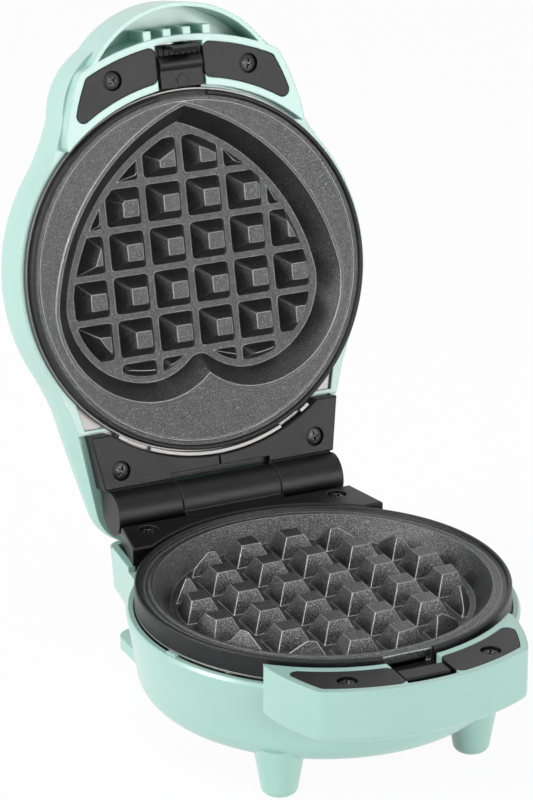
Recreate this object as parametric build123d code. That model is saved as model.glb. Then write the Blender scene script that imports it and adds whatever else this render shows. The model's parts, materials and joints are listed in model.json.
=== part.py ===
from build123d import *
import math
import os

# Mini waffle maker, standing open. Sizes are in millimetres, +X right, +Y back, +Z up.
# Everything is drawn with the plates' axis at X = Y = 0 and the feet on Z = 0.
# The lid is drawn shut, on its lip plane, and then turned up about the hinge pin.

# Overall
lip_z = 48.3              # height of the base plate's lip above the table
lip_gap = 1.0             # gap between the two lips when the lid is shut
lid_open_angle = 102.7    # how far the lid stands open, from shut
hinge_y = 72.4            # hinge pin, behind the plates' axis
slip = 0.05               # radial clearance of a pin that turns in its bore
seat = 0.02               # radial clearance of a pin or screw that stays put
fit_gap = 0.25            # gap all round a piece that drops into a recess

# Plates
plate_radius = 57.5
lip_width = 1.3
skirt_thick = 2.2
base_skirt_height = 6.6
lid_skirt_height = 5.8
plate_thick = 2.5
land_drop = 1.2           # the flat ring just inside the lip
ring_radius = 54.4        # low second ring on the base plate's land
cavity_radius = 52.2      # round recess in the base plate, at the top
cavity_floor_radius = 46.5
cavity_depth = 7.3
grid_count = 6
base_pitch = 15.4         # waffle grid of the base plate
base_peak_half = 3.1
base_foot_half = 5.95
base_peak_drop = 1.1
base_clip_radius = 44.8   # the grid's feet stop at this circle
lid_pitch = 14.0          # waffle grid of the lid plate
lid_peak_half = 2.65
lid_foot_half = 6.0
lid_foot_corner = 1.3     # the lid's pyramids have rounded corners
lid_peak_corner = 0.5
lid_peak_drop = 1.5
lid_grid_shift = -1.9     # centre of the lid grid, towards the handle
lid_floor_depth = 8.4
heart_tip_y = -53.0
heart_flank_x = 31.4
heart_flank_y = -32.2
heart_side_x = 49.0
heart_side_y = 6.0
heart_shoulder_x = 42.0
heart_shoulder_y = 27.2
heart_lobe_x = 20.5
heart_lobe_y = 39.3
heart_brow_x = 8.2
heart_brow_y = 37.8
heart_cusp_y = 32.7
heart_wall_run = 5.3      # how far the floor's outline lies inside the edge's
heart_clip = 1.9          # the grid stops this far inside the floor's outline
bead_width = 1.1
bead_height = 0.45
notch_half = 8.3          # the latch notch in both rims
notch_y = -54.9

# Plan outline, seen from above with the lid shut
shell_radius = 60.2
shell_inner_radius = 58.3
lid_rim_radius = 59.6
wall = 2.2
handle_root_x = 41.0      # where the handle's side leaves the round body
handle_root_y = -44.8
handle_bulge_x = 38.8
handle_bulge_y = -55.2
handle_tip_x = 34.0
handle_inner_radius = 59.2
handle_outer_radius = 75.3
handle_corner = 3.2
rim_strip = 2.5           # coloured rim left round the black inlays
inlay_corner = 2.2
grip_centre_y = -50.0     # the lid handle's finger pocket is a crescent
grip_radius = 35.6
grip_wall = 1.5
shoulder_angle = -36.0    # where the round body's outline turns into the shoulder
hip_angle = 27.0          # where it turns into the tail
head_angle = -40.7        # where the shoulder meets the head's arc, about the head's centre
tail_root_x = 48.4        # the lid narrows from here back to the hinge
tail_root_y = 33.2
tail_end_x = 36.6
tail_end_y = 85.5
tail_corner = 15.0
lid_flare = 0.6           # the lid is wider behind its rim: round body
tail_flare = 2.0          # and tail
lid_wide_drop = 13.0      # the widest line lies this far behind the lip plane

# Base shell
base_bottom_z = 13.0
base_rim_z = 40.6
base_waist_radius = 57.2
base_waist_z = 21.0
base_floor_radius = 47.8
handle_drop = 1.3         # handle top below the lip
handle_height = 17.0
handle_low_round = 2.5
rib_thick = 1.6
inlay_thick = 2.5
neck_rim_z = 42.4         # hinge neck at the back of the base shell
neck_front_y = 30.0
neck_front_x = 46.6
neck_back_x = 43.0
neck_back_y = 68.6
neck_waist_z = 28.0       # the neck's sides are nearly upright above this height
neck_waist_front_x = 45.6
neck_waist_back_x = 42.2
neck_waist_back_y = 68.0
neck_low_front_x = 37.6
neck_low_back_x = 35.4
neck_low_back_y = 62.0
neck_corner = 6.0
neck_side_z = 41.3        # the neck's sides behind the hinge block
heel_low_z = 6.6          # flange under the neck that keeps a wound lead in place
heel_high_z = 10.4
heel_x = 41.2
heel_front_y = 47.0
heel_back_y = 67.4
foot_top_radius = 7.4
foot_bottom_radius = 5.3
foot_round = 2.4
front_foot_rise = 4.0     # the feet run up into the shell's curved wall
front_hollow_rise = 4.5
rear_foot_rise = 3.0      # and into the neck's flat floor
front_foot_x = 32.2
front_foot_y = -36.8
rear_foot_x = 27.5
rear_foot_y = 58.0        # far enough back that the open lid doesn't tip the maker over
pad_radius = 2.7
pad_proud = 0.4
pad_thick = 1.6
cover_radius = 38.0
cover_flange = 2.0
cover_thick = 1.2
cover_screw_radius = 33.5
vent_count = 7
vent_pitch = 7.0
vent_width = 2.4

# Hinge
barrel_radius = 7.0
hinge_pin_radius = 2.0
knuckle_seam_x = 17.2     # middle of the gap between the base's and the lid's knuckles
knuckle_gap = 0.4
barrel_end_x = 39.4
pin_recess = 0.8
block_front_y = 45.5
block_back_y = 62.6
block_front_x = 43.5
block_back_x = 40.1
block_screw_y = 57.6
block_screw_x = 33.0
saddle_z = 40.8           # low shelf behind the hinge block
saddle_thick = 1.8
saddle_back_y = 68.2
bracket_front_y = 47.4
bracket_front_x = 43.3
bracket_back_y = 65.0
bracket_back_x = 40.2
bracket_drop = 0.15       # the bracket's face lies this far behind the lip plane
bracket_thick = 5.5
bracket_screw_x = 34.1
bracket_screw_y = 59.4
bracket_arc_radius = 59.7
recess_depth = 3.0
recess_y = 63.0           # the bracket's back edge in front of the middle knuckle
seam_width = 0.7
stop_width = 8.0          # heel on each lid knuckle that meets the shelf when open

# Lid
lid_depth = 26.9          # at the crown, the highest line of the lid's gently domed top
crown_y = -15.0
crown_radius = 850.0
lid_rim_drop = 4.6        # round the plate the rim lies behind the lip plane
lid_edge_round = 8.0
tail_roof_extra = 0.4     # the roof over the tail is this much thicker
head_floor_depth = 15.2   # the handle's frame ends here, and is hollow behind
grip_depth = 13.0
rib_count = 4
rib_pitch = 6.8
rib_width = 2.6
rib_reach = 2.2
tail_rim_front = 4.6      # the tail's rim in front of the hinge bracket
tail_rim_y = 46.0
tail_seat = 5.75          # the bracket sits on the rim here
tail_bend_y = 50.0        # from here the rim slopes back
tail_rim_back = 11.6

# Latch
channel_half = 8.2
channel_radius = 73.2
lever_half = 7.2
lever_pivot_y = -66.6
lever_pivot_depth = 8.0
lever_pin_radius = 1.3
lever_front_y = -58.9
lever_band_y = -64.6
lever_ridge_y = -68.2
lever_back_y = -72.3
lever_face_depth = -0.3
ridge_depth = 2.8
thumb_top_depth = 27.4
thumb_half_length = 4.2
window_front_y = -74.2
window_back_y = -61.6
hook_half = 4.4
hook_thick = 1.2
hook_reach = 1.0          # how far the nose stands inward from the hook's tongue
hook_nose_height = 1.4
catch_front_y = -63.4
catch_back_y = -69.45
catch_drop = 0.5
catch_half = 7.2
ledge_thick = 1.6
ledge_reach = 1.7
channel_floor_z = 37.5

# Screws
screw_head_radius = 2.9
screw_head_height = 1.7
screw_recess = 0.4        # heads lie this far under the surface
screw_shank_radius = 1.45
small_head_radius = 2.2
small_shank_radius = 1.2
inlay_screw_x = 23.4
inlay_screw_y = -63.6
inlay_screw_length = 10.0
hinge_screw_length = 14.0
boss_wall = 1.9

# Heating and wiring
tube_radius = 3.15
heater_ring_radius = 31.0
heater_gap_angle = 36.0
terminal_radius = 1.1
terminal_length = 6.2
pan_wall_radius = 52.8
pan_thick = 0.6
pan_rim_height = 2.9
pan_depth = 11.4
pan_corner = 3.0
plate_screw_radius = 55.2
wire_radius = 1.0
thermostat_radius = 8.0
thermostat_height = 6.0
fuse_radius = 2.0
lamp_radius = 1.9
lens_radius = 3.2
lens_y = -38.0
lens_proud = 0.5
lens_flange = 1.4
lens_flange_thick = 0.8
gland_radius = 4.6
gland_bore = 3.1
gland_z = 21.5
terminal_block_x = 12.0

# Worked out from the values above
hinge_z = lip_z + lip_gap / 2
lid_z = lip_z + lip_gap
lid_top = lid_z + lid_depth
handle_top_z = lip_z - handle_drop
handle_low_z = handle_top_z - handle_height
handle_tip_y = -math.sqrt(handle_outer_radius ** 2 - handle_tip_x ** 2)
root_scale = handle_inner_radius / math.hypot(handle_root_x, handle_root_y)
seat_depth = inlay_thick + 0.1
foot_z = pad_proud
floor_z = base_bottom_z + wall
pan_rim_radius = shell_inner_radius - 0.1
base_flange = base_skirt_height + 0.05
lid_flange = lid_skirt_height + 0.05
base_heater_z = lip_z - cavity_depth - plate_thick - tube_radius - seat
lid_heater_z = lid_z + lid_floor_depth + plate_thick + tube_radius + seat
plate_screw_angles = (90, 215, 325)
pan_post_angles = (50, 130, 194, 346)
cover_screw_angles = (90, 210, 330)
terminal_angles = (90 - heater_gap_angle / 2, 90 + heater_gap_angle / 2)


def place(radius, angle):
    turn = math.radians(angle)
    return radius * math.cos(turn), radius * math.sin(turn)


def slab(face, low, high):
    """A face drawn on the ground plane, raised to fill the heights low to high."""
    return Pos(0, 0, low) * extrude(face, amount=high - low)


def rod(radius, low, high, x=0.0, y=0.0):
    return Pos(x, y, low) * extrude(Circle(radius), amount=high - low)


def cross_rod(radius, left, right, y, z):
    """A round bar along X."""
    bar = Cylinder(radius, right - left)
    return Pos((left + right) / 2, y, z) * Rot(0, 90, 0) * bar


def block(x_low, x_high, y_low, y_high, z_low, z_high):
    middle = Pos((x_low + x_high) / 2, (y_low + y_high) / 2, (z_low + z_high) / 2)
    return middle * Box(x_high - x_low, y_high - y_low, z_high - z_low)


def side_prism(points, left, right):
    """A solid along X whose section is given as (y, z) points."""
    section = make_face(Polyline([(left, y, z) for y, z in points], close=True))
    return extrude(section, amount=right - left, dir=(1, 0, 0))


def turned(points):
    """A body of revolution about Z from (radius, height) points."""
    outline = make_face(Polyline([(r, 0, z) for r, z in points], close=True))
    return revolve(outline, Axis.Z, 360)


def lid_up(shape):
    """Turn a lid piece from shut to open about the hinge pin."""
    turn = Pos(0, hinge_y, hinge_z) * Rot(-lid_open_angle, 0, 0) * Pos(0, -hinge_y, -hinge_z)
    return turn * shape


def screw(x, y, top, length, up=True, head=screw_head_radius, shank=screw_shank_radius):
    """A pan-head screw with a cross slot. Its head's face is at the height top."""
    body = rod(head, -screw_head_height, 0)
    body = fillet(body.edges().group_by(Axis.Z)[-1], 0.6)
    body += rod(shank, -length, -screw_head_height)
    for angle in (45, 135):
        body -= Rot(0, 0, angle) * block(-0.58 * head, 0.58 * head, -0.32, 0.32, -0.9, 1)
    body -= Pos(0, 0, -0.55) * Cone(0.2, 0.36 * head, 1.3)
    if not up:
        body = Rot(180, 0, 0) * body
    return Pos(x, y, top) * body


def screw_hole(x, y, face, length, side=1, head=screw_head_radius, shank=screw_shank_radius):
    """Room for a screw let in from the height face; side is 1 for a face that looks up."""
    low, high = sorted((face + side, face - side * (screw_recess + screw_head_height)))
    hole = rod(head + fit_gap, low, high, x, y)
    low, high = sorted((face, face - side * (screw_recess + length)))
    return hole + rod(shank + seat, low, high, x, y)


# Plan outlines

def handle_face(corner=handle_corner):
    """The handle's rim from above: a piece of a ring with curved sides."""
    inner = (handle_root_x * root_scale, handle_root_y * root_scale)
    root = (handle_root_x, handle_root_y)
    bulge = (handle_bulge_x, handle_bulge_y)
    tip = (handle_tip_x, handle_tip_y)
    edges = [Line(inner, root), ThreePointArc(root, bulge, tip)]
    edges.append(ThreePointArc(tip, (0, -handle_outer_radius), (-tip[0], tip[1])))
    edges.append(ThreePointArc((-tip[0], tip[1]), (-bulge[0], bulge[1]), (-root[0], root[1])))
    edges.append(Line((-root[0], root[1]), (-inner[0], inner[1])))
    edges.append(ThreePointArc((-inner[0], inner[1]), (0, -handle_inner_radius), inner))
    face = make_face(edges)
    if not corner:
        return face
    tips = face.vertices().filter_by(lambda point: abs(point.Y - handle_tip_y) < 0.01)
    return fillet(tips, corner)


def handle_block_face():
    """The handle's outline carried on inwards, under or over the round body."""
    root = (handle_root_x, handle_root_y)
    bulge = (handle_bulge_x, handle_bulge_y)
    tip = (handle_tip_x, handle_tip_y)
    inward = (handle_root_x * 0.8, handle_root_y * 0.5)
    edges = [ThreePointArc(root, bulge, tip)]
    edges.append(ThreePointArc(tip, (0, -handle_outer_radius), (-tip[0], tip[1])))
    edges.append(ThreePointArc((-tip[0], tip[1]), (-bulge[0], bulge[1]), (-root[0], root[1])))
    edges.append(Polyline((-root[0], root[1]), (-inward[0], inward[1]), inward, root))
    face = make_face(edges)
    tips = face.vertices().filter_by(lambda point: abs(point.Y - handle_tip_y) < 0.01)
    return fillet(tips, handle_corner)


def inlay_face(right, inset):
    """One inlay: the band of the handle on one side of the latch channel, with round corners."""
    face = offset(handle_face(corner=0), -rim_strip - inset, kind=Kind.INTERSECTION)
    face &= Circle(handle_outer_radius - rim_strip - inset)
    face -= Circle(handle_inner_radius + rim_strip + inset)
    middle = 50 + channel_half + inset
    face &= Pos(middle if right else -middle, -60) * Rectangle(100, 60)
    return fillet(face.vertices(), inlay_corner - inset)


def tail_face():
    outline = Polyline([(-tail_root_x * 0.7, 0), (-tail_root_x, tail_root_y), (-tail_end_x, tail_end_y),
                        (tail_end_x, tail_end_y), (tail_root_x, tail_root_y), (tail_root_x * 0.7, 0)],
                       close=True)
    face = make_face(outline)
    return fillet(face.vertices().group_by(Axis.Y)[-1], tail_corner)


def hull_face(body_flare, flare):
    """The lid's whole outline: round body, shoulders, crescent head and narrowing tail."""
    radius = lid_rim_radius + body_flare
    shoulder = place(radius, shoulder_angle)
    ear = (handle_bulge_x + 0.8, handle_bulge_y + 2.2)
    cheek = (handle_tip_x + 1.6, handle_tip_y + 2.0)
    head = place(grip_radius, head_angle)
    head = (head[0], head[1] + grip_centre_y)
    hip = place(radius, hip_angle)
    run = 0.28
    side = (tail_root_x + run * (tail_end_x - tail_root_x) + flare,
            tail_root_y + run * (tail_end_y - tail_root_y))
    end = (tail_end_x + flare, tail_end_y)
    waist = blend_middle(hip, side, 90 + hip_angle)
    neck = blend_middle(shoulder, ear, shoulder_angle - 90)
    half = [ThreePointArc(shoulder, (radius, 0), hip), ThreePointArc(hip, waist, side)]
    half += [Line(side, end), ThreePointArc(shoulder, neck, ear), ThreePointArc(ear, cheek, head)]
    edges = half + [mirror(edge, about=Plane.YZ) for edge in half]
    edges.append(Line((-end[0], end[1]), end))
    edges.append(ThreePointArc(head, (0, grip_centre_y - grip_radius), (-head[0], head[1])))
    face = make_face(edges)
    return fillet(face.vertices().group_by(Axis.Y)[-1], tail_corner)


def blend_middle(start, end, heading):
    """Middle point of the arc that leaves start at the heading in degrees and reaches end."""
    chord = math.hypot(end[0] - start[0], end[1] - start[1])
    direction = math.atan2(end[1] - start[1], end[0] - start[0])
    turn = direction - math.radians(heading)
    bulge = chord / 2 * math.tan(turn / 2)
    middle = ((start[0] + end[0]) / 2, (start[1] + end[1]) / 2)
    return middle[0] + bulge * math.sin(direction), middle[1] - bulge * math.cos(direction)


def grip_face(inset=0.0):
    return Pos(0, grip_centre_y) * Circle(grip_radius - inset)


def heart_face():
    """Heart outline with its point to the front: three arcs on each side."""
    side = (heart_side_x, heart_side_y)
    lobe = (heart_lobe_x, heart_lobe_y)
    half = [ThreePointArc((0, heart_tip_y), (heart_flank_x, heart_flank_y), side)]
    half.append(ThreePointArc(side, (heart_shoulder_x, heart_shoulder_y), lobe))
    half.append(ThreePointArc(lobe, (heart_brow_x, heart_brow_y), (0, heart_cusp_y)))
    return make_face(half + [mirror(edge, about=Plane.YZ) for edge in half])


# Waffle grids

def rounded_square(half, corner):
    return RectangleRounded(2 * half, 2 * half, corner) if corner else Rectangle(2 * half, 2 * half)


def waffle_grid(pitch, foot_half, peak_half, foot_z_low, peak_z, shift, clip, corners=(0, 0)):
    """Square pyramids with flat tops, kept where they stand inside the clip solid."""
    grid = []
    for column in range(grid_count):
        for row in range(grid_count):
            x = (column - (grid_count - 1) / 2) * pitch
            y = (row - (grid_count - 1) / 2) * pitch + shift
            foot = Pos(x, y, foot_z_low) * rounded_square(foot_half, corners[0])
            peak = Pos(x, y, peak_z) * rounded_square(peak_half, corners[1])
            piece = loft([foot, peak]) & clip
            if piece is None:
                continue
            grid += [part for part in piece.solids() if part.volume > 8]
    return grid


# Base

def plate_bosses(plate, low, high, bore_high):
    """Three blind bosses behind a plate's land take the screws of its reflector pan."""
    for angle in plate_screw_angles:
        x, y = place(plate_screw_radius, angle)
        bore = sorted((low - 5 * (high - low) / abs(high - low), bore_high))
        plate += rod(small_head_radius, min(low, high), max(low, high), x, y)
        plate -= rod(small_shank_radius + seat, bore[0], bore[1], x, y)
    return plate


def make_base_plate():
    lip_inner = plate_radius - lip_width
    skirt_inner = plate_radius - skirt_thick
    land = lip_z - land_drop
    floor = lip_z - cavity_depth
    skirt_low = lip_z - base_skirt_height
    points = [(0, floor), (cavity_floor_radius, floor), (cavity_radius - 0.5, land + 0.4)]
    points += [(cavity_radius + 0.4, land + 0.4), (cavity_radius + 0.9, land)]
    points += [(ring_radius - 0.5, land), (ring_radius, land + 0.3), (ring_radius + 0.5, land)]
    points += [(lip_inner - 0.3, land), (lip_inner, lip_z - 0.2), (lip_inner + 0.2, lip_z)]
    points += [(plate_radius - 0.4, lip_z), (plate_radius, lip_z - 0.5)]
    points += [(plate_radius, skirt_low), (skirt_inner, skirt_low)]
    points += [(skirt_inner, land - plate_thick), (cavity_radius + 1.9, land - plate_thick)]
    points += [(cavity_floor_radius + 1.6, floor - plate_thick), (0, floor - plate_thick)]
    plate = turned(points)
    slope = (base_foot_half - base_peak_half) / (cavity_depth - base_peak_drop)
    clip_high = cavity_depth + 0.5
    clip = Cone(base_clip_radius + 0.5 * slope, base_clip_radius - cavity_depth * slope, clip_high)
    clip = Pos(0, 0, floor - 0.5 + clip_high / 2) * clip
    foot_half = base_foot_half + 0.5 * slope
    plate += waffle_grid(base_pitch, foot_half, base_peak_half, floor - 0.5,
                         lip_z - base_peak_drop, 0, clip)
    plate = plate_bosses(plate, skirt_low, land - plate_thick + 0.1, land - 1.2)
    return plate - block(-notch_half, notch_half, -plate_radius - 1, notch_y, land - 3.8, lip_z + 1)


def make_heater(level, side):
    """Tubular heater bent to an open ring; its ends turn away from the plate."""
    section = Plane.XZ * Pos(heater_ring_radius, 0) * Circle(tube_radius)
    coil = Rot(0, 0, terminal_angles[1]) * revolve(section, Axis.Z, 360 - heater_gap_angle)
    for angle in terminal_angles:
        x, y = place(heater_ring_radius, angle)
        coil += Pos(x, y, 0) * Sphere(tube_radius)
        coil += rod(terminal_radius, min(0, side * terminal_length), max(0, side * terminal_length), x, y)
    return Pos(0, 0, level) * coil


def make_pan(flange, rim_radius, wing):
    """Pressed sheet pan behind a plate, drawn downwards from the lip: rim, flange and tray."""
    deep = flange + pan_depth
    inner = pan_wall_radius - pan_thick
    points = [(0, -deep), (inner - pan_corner, -deep), (inner, pan_corner - deep)]
    points += [(inner, -flange), (rim_radius - pan_thick, -flange)]
    points += [(rim_radius - pan_thick, pan_rim_height - flange)]
    points += [(rim_radius, pan_rim_height - flange), (rim_radius, -flange - pan_thick)]
    points += [(pan_wall_radius, -flange - pan_thick), (pan_wall_radius, pan_corner - deep)]
    points += [(pan_wall_radius - pan_corner, -deep - pan_thick), (0, -deep - pan_thick)]
    pan = turned(points)
    pan += slab(wing - Circle(pan_wall_radius - 0.1), -flange - pan_thick, -flange)
    for angle in plate_screw_angles:
        x, y = place(plate_screw_radius, angle)
        pan -= rod(small_shank_radius + seat, -flange - 2, -flange + 1, x, y)
    for angle in terminal_angles:
        x, y = place(heater_ring_radius, angle)
        pan -= rod(terminal_radius + fit_gap, -deep - 2, -deep + 1, x, y)
    return pan


def make_base_reflector():
    rim_radius = plate_radius
    wing = Pos(0, 52.5) * Rectangle(2 * (block_screw_x - screw_shank_radius - boss_wall - 1), 13.6)
    pan = make_pan(base_flange, rim_radius, wing)
    cut = rod(rim_radius + 1, -base_flange, 0) - rod(pan_wall_radius, -base_flange, 0)
    return Pos(0, 0, lip_z) * (pan - cut)


def bowl_solid(inset, bottom, top):
    """The round body below the rim, or its hollow, with a rounded lower edge."""
    low = base_floor_radius - inset * 0.3
    waist = base_waist_radius - inset
    rim = shell_radius - inset
    middle = (low + (waist - low) * 0.72, bottom + (base_waist_z - bottom) * 0.30)
    edges = [Line((0, 0, bottom), (low, 0, bottom))]
    edges.append(ThreePointArc((low, 0, bottom), (middle[0], 0, middle[1]), (waist, 0, base_waist_z)))
    edges.append(Line((waist, 0, base_waist_z), (rim, 0, top - 1)))
    edges.append(Line((rim, 0, top - 1), (rim - 0.7 if not inset else rim, 0, top)))
    edges.append(Line((rim - 0.7 if not inset else rim, 0, top), (0, 0, top)))
    edges.append(Line((0, 0, top), (0, 0, bottom)))
    return revolve(make_face(edges), Axis.Z, 360)


def neck_section(front_x, back_x, back_y, inset):
    outline = Polyline([(-front_x + inset, neck_front_y), (-back_x + inset, back_y - inset),
                        (back_x - inset, back_y - inset), (front_x - inset, neck_front_y)], close=True)
    face = make_face(outline)
    return fillet(face.vertices().group_by(Axis.Y)[-1], neck_corner - inset)


def neck_solid(inset, bottom, top):
    low = neck_section(neck_low_front_x, neck_low_back_x, neck_low_back_y, inset)
    waist = neck_section(neck_waist_front_x, neck_waist_back_x, neck_waist_back_y, inset)
    high = neck_section(neck_front_x, neck_back_x, neck_back_y, inset)
    lower = loft([Pos(0, 0, bottom) * low, Pos(0, 0, neck_waist_z) * waist])
    return lower + loft([Pos(0, 0, neck_waist_z) * waist, Pos(0, 0, top) * high])


def foot_places():
    return [(-front_foot_x, front_foot_y), (front_foot_x, front_foot_y),
            (-rear_foot_x, rear_foot_y), (rear_foot_x, rear_foot_y)]


def make_foot(rise):
    height = base_bottom_z + rise - foot_z
    spread = (foot_top_radius - foot_bottom_radius) * height / (base_bottom_z - foot_z)
    body = Cone(foot_bottom_radius, foot_bottom_radius + spread, height)
    body = fillet(body.edges().group_by(Axis.Z)[0], foot_round)
    return Pos(0, 0, foot_z + height / 2) * body


def foot_hollow(rise):
    low = foot_z + pad_thick + wall
    high = base_bottom_z + rise
    return Pos(0, 0, (low + high) / 2) * Cone(foot_bottom_radius - wall, foot_top_radius - wall, high - low)


def make_base_shell():
    bowl = bowl_solid(0, base_bottom_z, base_rim_z + 0.7)
    shell = bowl_solid(0, base_bottom_z, base_rim_z)
    shell += neck_solid(0, base_bottom_z, neck_rim_z)
    shell -= block(-60, 60, -80, block_front_y - 0.1, base_rim_z, 60)
    inside = block_back_x - wall - 0.5 + seat
    shell -= block(-inside, inside, block_back_y, 90, saddle_z - saddle_thick, 60)
    shell -= block(-60, 60, block_back_y, 90, neck_side_z, 60)
    shell -= block(-60, 60, saddle_back_y, 90, saddle_z - saddle_thick, 60)
    grip = slab(handle_block_face(), handle_low_z, handle_top_z)
    grip = fillet(grip.edges().group_by(Axis.Z)[0], handle_low_round)
    shell += grip - rod(handle_inner_radius, base_rim_z, 60)
    for x, y in foot_places():
        shell += Pos(x, y, 0) * make_foot(front_foot_rise if y < 0 else rear_foot_rise)
    heel = make_face(Polyline([(-heel_x, heel_front_y), (-heel_x, heel_back_y),
                               (heel_x, heel_back_y), (heel_x, heel_front_y)], close=True))
    heel = fillet(heel.vertices().group_by(Axis.Y)[-1], neck_corner)
    shell += slab(heel, heel_low_z, heel_high_z)
    shell += block(-22, 22, 49, 58, heel_low_z, base_bottom_z + 1)
    shell -= bowl_solid(wall, floor_z, base_rim_z + 2)
    shell -= neck_solid(wall, floor_z, neck_rim_z + 1)
    roof = handle_top_z - seat_depth - wall
    hollow = Circle(handle_outer_radius - wall) - Circle(base_waist_radius - 3)
    root_x = handle_root_x - 2 * wall
    tip_x = handle_tip_x - 2.2 * wall
    sides = Polyline([(-root_x, -40), (-tip_x, -80), (tip_x, -80), (root_x, -40)], close=True)
    hollow &= make_face(sides)
    hollow -= Rectangle(2 * channel_half + 2 * wall, 200)
    post = 2 * (screw_shank_radius + boss_wall)
    for x in (-inlay_screw_x, inlay_screw_x):
        hollow -= Pos(x, inlay_screw_y) * Rectangle(post, post)
    hollow -= Pos(0, inlay_screw_y) * Rectangle(2 * inlay_screw_x, rib_thick)
    shell -= slab(hollow, handle_low_z + wall, roof)
    for right in (False, True):
        shell -= slab(inlay_face(right, -fit_gap), handle_top_z - seat_depth, handle_top_z + 1)
    channel = Rectangle(2 * channel_half, 200) & Circle(channel_radius)
    channel = (channel - Circle(shell_inner_radius - 1)) & Pos(0, -70) * Rectangle(40, 50)
    shell -= slab(channel, channel_floor_z, handle_top_z + 1)
    for x, y in ((-inlay_screw_x, inlay_screw_y), (inlay_screw_x, inlay_screw_y)):
        low = handle_top_z - screw_recess - inlay_screw_length - 1
        shell -= rod(screw_shank_radius + seat, low, handle_top_z, x, y)
    for angle in pan_post_angles:
        post = block(pan_wall_radius + 0.4, shell_inner_radius + 0.4, -2.2, 2.2, floor_z + 6, 60)
        post &= rod(shell_inner_radius + 0.4, 0, lip_z - base_flange - pan_thick)
        shell += (Rot(0, 0, angle) * post) & bowl
    for x in (-block_screw_x, block_screw_x):
        low = lip_z - screw_recess - hinge_screw_length - 2
        post = rod(screw_shank_radius + boss_wall, low - 6, saddle_z - saddle_thick, x, block_screw_y)
        shell += post + block(x - 1, x + 1, block_screw_y, neck_back_y - 1.5, low - 6, 38)
        shell -= rod(screw_shank_radius + seat, low, lip_z, x, block_screw_y)
    for angle in cover_screw_angles:
        shell += Rot(0, 0, angle) * block(cover_screw_radius - 3.4, cover_radius + 4, -3.4, 3.4,
                                          floor_z - 1, floor_z + 8)
    shell -= rod(cover_radius + fit_gap, base_bottom_z - 1, floor_z)
    shell -= rod(cover_radius + cover_flange + fit_gap, base_bottom_z - 1, base_bottom_z + cover_thick)
    for angle in cover_screw_angles:
        x, y = place(cover_screw_radius, angle)
        shell -= rod(screw_shank_radius + seat, floor_z - 1, floor_z + 7, x, y)
    for x, y in foot_places():
        shell -= Pos(x, y, 0) * foot_hollow(front_hollow_rise if y < 0 else wall + 0.1)
        shell -= rod(pad_radius + seat, -1, pad_thick, x, y)
    shell -= gland_place() * Cylinder(gland_radius + seat, 12)
    return shell


def make_bottom_cover():
    cover = rod(cover_radius + cover_flange, base_bottom_z, base_bottom_z + cover_thick - 0.05)
    cover += rod(cover_radius, base_bottom_z + cover_thick - 0.1, floor_z - 0.05)
    for index in range(vent_count):
        y = (index - (vent_count - 1) / 2) * vent_pitch * 0.7
        half = 15 if abs(y) < 12 else 10
        cover -= block(-half, half, y - vent_width / 2, y + vent_width / 2, 0, 20)
    for angle in cover_screw_angles:
        x, y = place(cover_screw_radius, angle)
        cover -= rod(screw_head_radius + fit_gap, 0, base_bottom_z + 1.2, x, y)
        cover -= rod(screw_shank_radius + 0.15, 0, 20, x, y)
    return cover


def make_cover_screws():
    face = base_bottom_z + 1.2 - screw_head_height
    return [screw(x, y, face, 8, up=False)
            for x, y in [place(cover_screw_radius, angle) for angle in cover_screw_angles]]


def make_foot_pads():
    return [rod(pad_radius, 0, pad_thick, x, y) for x, y in foot_places()]


def make_inlay(right, face, side):
    """A black panel in the handle, with a screw let in. side is 1 where its face looks up."""
    back = face - side * inlay_thick
    panel = slab(inlay_face(right, 0), min(back, face), max(back, face))
    x = inlay_screw_x if right else -inlay_screw_x
    return panel - screw_hole(x, inlay_screw_y, face, inlay_screw_length, side)


def make_plate_screws(level, side):
    screws = []
    for angle in plate_screw_angles:
        x, y = place(plate_screw_radius, angle)
        top = level + side * screw_head_height
        screws.append(screw(x, y, top, screw_head_height + 3.6, side > 0, small_head_radius,
                            small_shank_radius))
    return screws


def make_latch_catch():
    """Block between the base's inlays; its front ledge is what the hook catches under."""
    top = handle_top_z - catch_drop
    points = [(catch_front_y, channel_floor_z), (catch_front_y, top - 0.4), (catch_front_y - 0.4, top)]
    points += [(catch_back_y + 0.4, top), (catch_back_y, top - 0.4), (catch_back_y, top - ledge_thick)]
    points += [(catch_back_y + ledge_reach, top - ledge_thick), (catch_back_y + ledge_reach, channel_floor_z)]
    catch = side_prism(points, -catch_half, catch_half)
    for x in (-hook_half - 1.2, hook_half + 1.2):
        catch += block(x - 0.7, x + 0.7, catch_back_y, catch_front_y, channel_floor_z, top - 0.5)
    return catch


def hinge_plan():
    outline = Polyline([(-block_front_x, block_front_y), (-block_back_x, block_back_y),
                        (block_back_x, block_back_y), (block_front_x, block_front_y)], close=True)
    return make_face(outline) - Circle(shell_inner_radius)


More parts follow.
